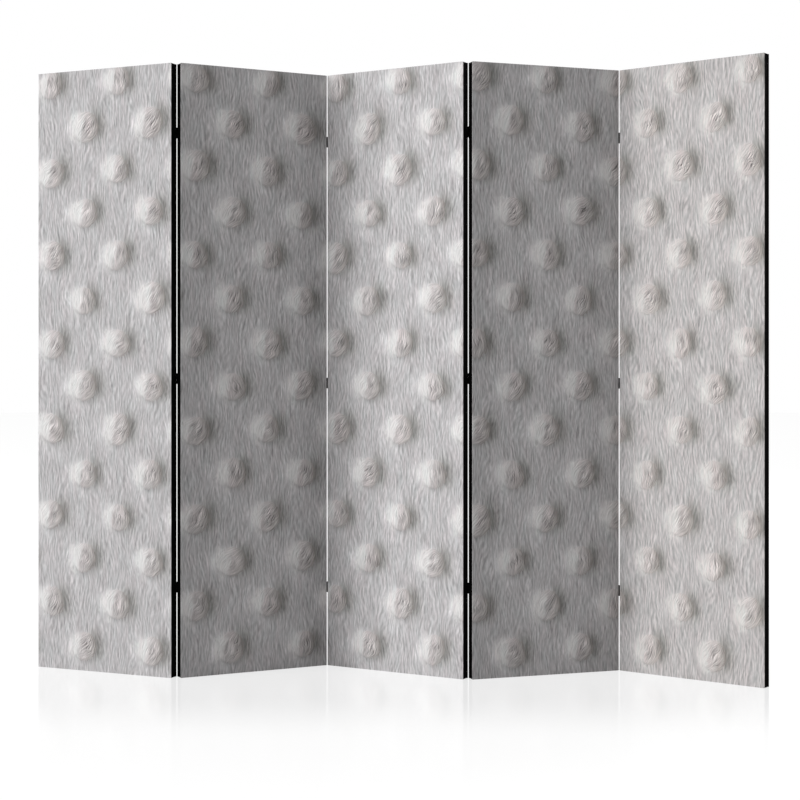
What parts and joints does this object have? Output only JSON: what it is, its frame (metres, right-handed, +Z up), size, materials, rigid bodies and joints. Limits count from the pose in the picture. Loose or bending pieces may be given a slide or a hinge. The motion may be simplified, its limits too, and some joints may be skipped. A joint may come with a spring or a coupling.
{
  "type": "folding screen",
  "caption": "Free-standing folding room divider: tall wooden stretcher frames with printed canvas fronts, joined by small butt hinges so that they stand in a zigzag or fold flat.",
  "frame": {"origin": "on the floor, at the middle of the bounding box of the screen as it stands at rest", "axes": "+Z up; the printed fronts face -Y, towards the viewer; +X to the viewer's right, along the screen"},
  "size_m": [2.0524, 0.3872, 1.72],
  "materials": {
    "printed_canvas": "matte woven canvas, printed",
    "black_cloth": "matte black backing cloth",
    "black_tape": "matte black woven edge tape",
    "pine": "planed, unfinished",
    "hinge_metal": "black, semi-gloss",
    "hinge_pin": "blackened steel",
    "screw_metal": "black"
  },
  "bodies": {
    "panel_1": {"hinge_1_2_outer_leaves": "hinge_metal", "hinge_1_2_pins": "hinge_pin", "panel_1_back_cloth": "black_cloth", "panel_1_bottom_rail": "pine", "panel_1_cross_rails": "pine", "panel_1_edge_tape": "black_tape", "panel_1_front_canvas": "printed_canvas", "panel_1_hinge_screws": "screw_metal", "panel_1_left_stile": "pine", "panel_1_right_stile": "pine", "panel_1_top_rail": "pine"},
    "panel_2": {"hinge_1_2_middle_leaves": "hinge_metal", "hinge_2_3_outer_leaves": "hinge_metal", "hinge_2_3_pins": "hinge_pin", "panel_2_back_cloth": "black_cloth", "panel_2_bottom_rail": "pine", "panel_2_cross_rails": "pine", "panel_2_edge_tape": "black_tape", "panel_2_front_canvas": "printed_canvas", "panel_2_hinge_screws": "screw_metal", "panel_2_left_stile": "pine", "panel_2_right_stile": "pine", "panel_2_top_rail": "pine"},
    "panel_3": {"hinge_2_3_middle_leaves": "hinge_metal", "hinge_3_4_outer_leaves": "hinge_metal", "hinge_3_4_pins": "hinge_pin", "panel_3_back_cloth": "black_cloth", "panel_3_bottom_rail": "pine", "panel_3_cross_rails": "pine", "panel_3_edge_tape": "black_tape", "panel_3_front_canvas": "printed_canvas", "panel_3_hinge_screws": "screw_metal", "panel_3_left_stile": "pine", "panel_3_right_stile": "pine", "panel_3_top_rail": "pine"},
    "panel_4": {"hinge_3_4_middle_leaves": "hinge_metal", "hinge_4_5_outer_leaves": "hinge_metal", "hinge_4_5_pins": "hinge_pin", "panel_4_back_cloth": "black_cloth", "panel_4_bottom_rail": "pine", "panel_4_cross_rails": "pine", "panel_4_edge_tape": "black_tape", "panel_4_front_canvas": "printed_canvas", "panel_4_hinge_screws": "screw_metal", "panel_4_left_stile": "pine", "panel_4_right_stile": "pine", "panel_4_top_rail": "pine"},
    "panel_5": {"hinge_4_5_middle_leaves": "hinge_metal", "panel_5_back_cloth": "black_cloth", "panel_5_bottom_rail": "pine", "panel_5_cross_rails": "pine", "panel_5_edge_tape": "black_tape", "panel_5_front_canvas": "printed_canvas", "panel_5_hinge_screws": "screw_metal", "panel_5_left_stile": "pine", "panel_5_right_stile": "pine", "panel_5_top_rail": "pine"}
  },
  "joints": [
    {"name": "fold_2_3", "type": "hinge", "parent": "panel_3", "child": "panel_2", "pos_m": [-0.18928, 0.16797, 0], "axis": [0, 0, 1], "range_deg": [-58.5, 117.5]},
    {"name": "fold_1_2", "type": "hinge", "parent": "panel_2", "child": "panel_1", "pos_m": [-0.60348, -0.01482, 0], "axis": [0, 0, -1], "range_deg": [-52.1, 127.9]},
    {"name": "fold_3_4", "type": "hinge", "parent": "panel_3", "child": "panel_4", "pos_m": [0.21443, -0.03695, 0], "axis": [0, 0, 1], "range_deg": [-49.8, 126.2]},
    {"name": "fold_4_5", "type": "hinge", "parent": "panel_4", "child": "panel_5", "pos_m": [0.65152, 0.08108, 0], "axis": [0, 0, -1], "range_deg": [-56.7, 123.3]}
  ]
}
